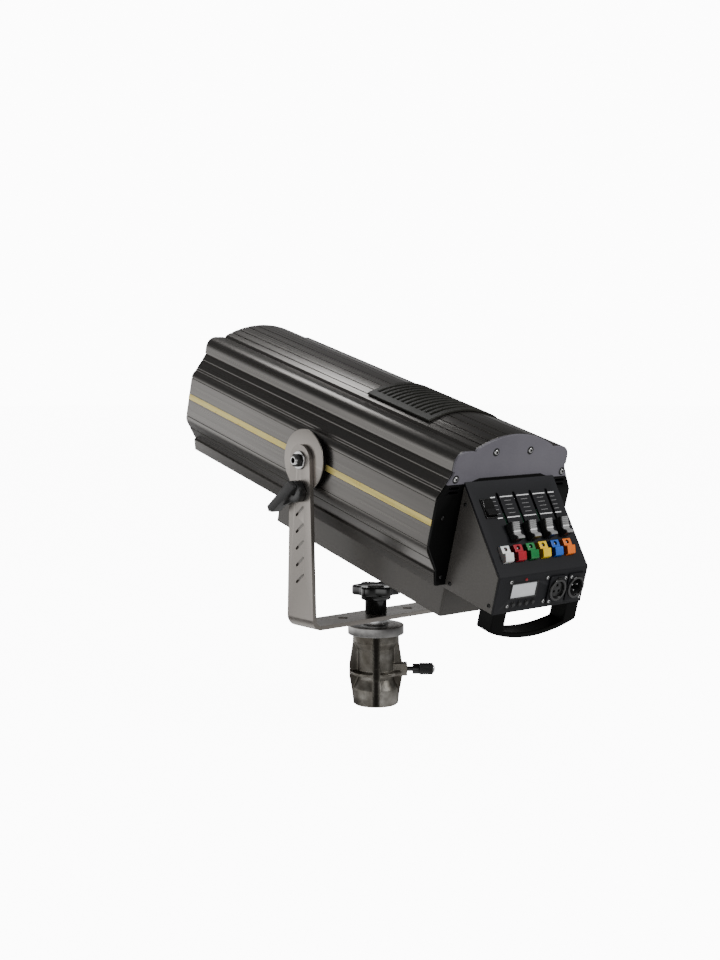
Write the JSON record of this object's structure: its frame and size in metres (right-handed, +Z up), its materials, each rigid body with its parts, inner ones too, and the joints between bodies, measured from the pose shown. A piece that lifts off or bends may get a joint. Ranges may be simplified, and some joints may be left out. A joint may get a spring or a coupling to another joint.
{
  "type": "follow spot",
  "caption": "LED follow spot: fluted extruded body with rear fader and colour-key console, handle, U-yoke with wing knobs, on a cast stand-top socket",
  "frame": {"origin": "centre of the stand socket's mouth, on the pan axis at the bottom of the stand casting", "axes": "+Z up along the pan axis, +Y the horizontal direction the beam faces, +X to the operator's right"},
  "size_m": [0.2526, 0.5273, 0.4475],
  "materials": {
    "cast_aluminium": "raw sand-cast",
    "bright_steel": "zinc plated",
    "black_plastic": "moulded, satin",
    "yoke_paint": "satin warm grey-black",
    "black_anodised": "black anodised, satin, extruded",
    "gold_strip": "pale gold",
    "taupe_paint": "fine textured taupe-grey",
    "slate_paint": "satin slate grey",
    "panel_black": "satin blue-black",
    "grille_olive": "satin olive-grey",
    "grey_plastic": "ribbed mid grey",
    "key_white": "satin",
    "key_red": "satin",
    "key_green": "satin",
    "key_yellow": "satin",
    "key_blue": "satin",
    "key_orange": "satin",
    "screen": "pale grey display window",
    "clear_glass": "clear, coated",
    "plain_aluminium": "mill finish",
    "led_phosphor": "yellow phosphor on a white board",
    "circuit_green": "solder resist"
  },
  "bodies": {
    "stand": {"stand_casting": "cast_aluminium", "pan_stud": "bright_steel", "pan_washer": "bright_steel"},
    "star_knob": {"star_knob": "black_plastic"},
    "stand_lock_screw": {"stand_lock_screw": "black_plastic"},
    "yoke": {"yoke": "yoke_paint", "pivot_bolt_right": "bright_steel", "pivot_bolt_left": "bright_steel"},
    "wing_knob_right": {"wing_knob_right": "black_plastic"},
    "wing_knob_left": {"wing_knob_left": "black_plastic"},
    "head": {"top_shell": "black_anodised", "side_shell_right": "black_anodised", "side_stripe_right": "gold_strip", "side_shell_left": "black_anodised", "side_stripe_left": "gold_strip", "base_tray": "taupe_paint", "rear_plate": "slate_paint", "rear_bulkhead": "panel_black", "front_plate": "panel_black", "vent_grille": "grille_olive", "friction_disc_right": "yoke_paint", "friction_disc_left": "yoke_paint", "control_box": "taupe_paint", "control_panel": "panel_black", "rear_handle": "panel_black", "display_unit": "screen", "xlr_female": "black_plastic", "xlr_male": "black_plastic", "power_inlet": "black_plastic", "fan_frame": "black_plastic", "heatsink": "plain_aluminium", "led_module": "led_phosphor", "condenser_lens": "clear_glass", "wheel_motor": "black_plastic", "gate_plate": "plain_aluminium", "guide_rod_right": "bright_steel", "guide_rod_left": "bright_steel", "front_lens": "clear_glass", "power_supply": "plain_aluminium", "control_board": "circuit_green"},
    "lens_carriage": {"lens_carriage": "plain_aluminium", "zoom_lens": "clear_glass"},
    "fan_rotor": {"fan_rotor": "black_plastic"},
    "colour_wheel": {"colour_wheel": "plain_aluminium"},
    "iris_unit": {"iris_unit": "black_plastic"},
    "lamp_rocker": {"lamp_rocker": "black_plastic"},
    "fader_1": {"fader_1": "grey_plastic"},
    "fader_2": {"fader_2": "grey_plastic"},
    "fader_3": {"fader_3": "grey_plastic"},
    "fader_4": {"fader_4": "grey_plastic"},
    "colour_key_white": {"colour_key_white": "key_white"},
    "colour_key_red": {"colour_key_red": "key_red"},
    "colour_key_green": {"colour_key_green": "key_green"},
    "colour_key_yellow": {"colour_key_yellow": "key_yellow"},
    "colour_key_blue": {"colour_key_blue": "key_blue"},
    "colour_key_orange": {"colour_key_orange": "key_orange"},
    "menu_button_1": {"menu_button_1": "black_plastic"},
    "menu_button_2": {"menu_button_2": "black_plastic"},
    "menu_button_3": {"menu_button_3": "black_plastic"},
    "menu_button_4": {"menu_button_4": "black_plastic"}
  },
  "joints": [
    {"name": "pan", "type": "hinge", "parent": "stand", "child": "yoke", "pos_m": [0, 0, 0.1], "axis": [0, 0, 1], "continuous": true},
    {"name": "tilt", "type": "hinge", "parent": "yoke", "child": "head", "pos_m": [0, 0, 0.2937], "axis": [1, 0, 0], "range_deg": [-45, 15]},
    {"name": "star_knob_turn", "type": "hinge", "parent": "stand", "child": "star_knob", "pos_m": [0, 0, 0.12], "axis": [0, 0, 1], "continuous": true},
    {"name": "stand_lock_turn", "type": "hinge", "parent": "stand", "child": "stand_lock_screw", "pos_m": [0, 0, 0.041], "axis": [0.766, -0.6428, 0], "continuous": true},
    {"name": "wing_knob_turn_right", "type": "hinge", "parent": "yoke", "child": "wing_knob_right", "pos_m": [0.113, 0, 0.2587], "axis": [-1, 0, 0], "range_deg": [-180, 70]},
    {"name": "wing_knob_turn_left", "type": "hinge", "parent": "yoke", "child": "wing_knob_left", "pos_m": [-0.113, 0, 0.2587], "axis": [1, 0, 0], "range_deg": [-180, 70]},
    {"name": "fader_slide_1", "type": "slide", "parent": "head", "child": "fader_1", "axis": [0, 0.4851, 0.8745], "range_m": [0, 0.042]},
    {"name": "fader_slide_2", "type": "slide", "parent": "head", "child": "fader_2", "axis": [0, 0.4851, 0.8745], "range_m": [0, 0.042]},
    {"name": "fader_slide_3", "type": "slide", "parent": "head", "child": "fader_3", "axis": [0, 0.4851, 0.8745], "range_m": [0, 0.042]},
    {"name": "fader_slide_4", "type": "slide", "parent": "head", "child": "fader_4", "axis": [0, 0.4851, 0.8745], "range_m": [0, 0.042]},
    {"name": "lamp_rocker_tip", "type": "hinge", "parent": "head", "child": "lamp_rocker", "pos_m": [-0.047, -0.23106, 0.25389], "axis": [1, 0, 0], "range_deg": [0, 16]},
    {"name": "key_press_white", "type": "slide", "parent": "head", "child": "colour_key_white", "axis": [0, 0.8745, -0.4851], "range_m": [0, 0.002], "stiffness_N_per_m": 500},
    {"name": "key_press_red", "type": "slide", "parent": "head", "child": "colour_key_red", "axis": [0, 0.8745, -0.4851], "range_m": [0, 0.002], "stiffness_N_per_m": 500},
    {"name": "key_press_green", "type": "slide", "parent": "head", "child": "colour_key_green", "axis": [0, 0.8745, -0.4851], "range_m": [0, 0.002], "stiffness_N_per_m": 500},
    {"name": "key_press_yellow", "type": "slide", "parent": "head", "child": "colour_key_yellow", "axis": [0, 0.8745, -0.4851], "range_m": [0, 0.002], "stiffness_N_per_m": 500},
    {"name": "key_press_blue", "type": "slide", "parent": "head", "child": "colour_key_blue", "axis": [0, 0.8745, -0.4851], "range_m": [0, 0.002], "stiffness_N_per_m": 500},
    {"name": "key_press_orange", "type": "slide", "parent": "head", "child": "colour_key_orange", "axis": [0, 0.8745, -0.4851], "range_m": [0, 0.002], "stiffness_N_per_m": 500},
    {"name": "menu_press_1", "type": "slide", "parent": "head", "child": "menu_button_1", "axis": [0, 0.9659, 0.2588], "range_m": [0, 0.001], "stiffness_N_per_m": 500},
    {"name": "menu_press_2", "type": "slide", "parent": "head", "child": "menu_button_2", "axis": [0, 0.9659, 0.2588], "range_m": [0, 0.001], "stiffness_N_per_m": 500},
    {"name": "menu_press_3", "type": "slide", "parent": "head", "child": "menu_button_3", "axis": [0, 0.9659, 0.2588], "range_m": [0, 0.001], "stiffness_N_per_m": 500},
    {"name": "menu_press_4", "type": "slide", "parent": "head", "child": "menu_button_4", "axis": [0, 0.9659, 0.2588], "range_m": [0, 0.001], "stiffness_N_per_m": 500},
    {"name": "colour_wheel_turn", "type": "hinge", "parent": "head", "child": "colour_wheel", "pos_m": [0, -0.0415, 0.25152], "axis": [0, 0.9659, 0.2588], "continuous": true},
    {"name": "iris_turn", "type": "hinge", "parent": "head", "child": "iris_unit", "pos_m": [0, -0.03833, 0.29378], "axis": [0, 0.9659, 0.2588], "range_deg": [0, 55]},
    {"name": "zoom_slide", "type": "slide", "parent": "head", "child": "lens_carriage", "axis": [0, 0.9659, 0.2588], "range_m": [0, 0.1]},
    {"name": "fan_spin", "type": "hinge", "parent": "head", "child": "fan_rotor", "pos_m": [0, -0.18739, 0.24349], "axis": [0, 0.9659, 0.2588], "continuous": true}
  ]
}
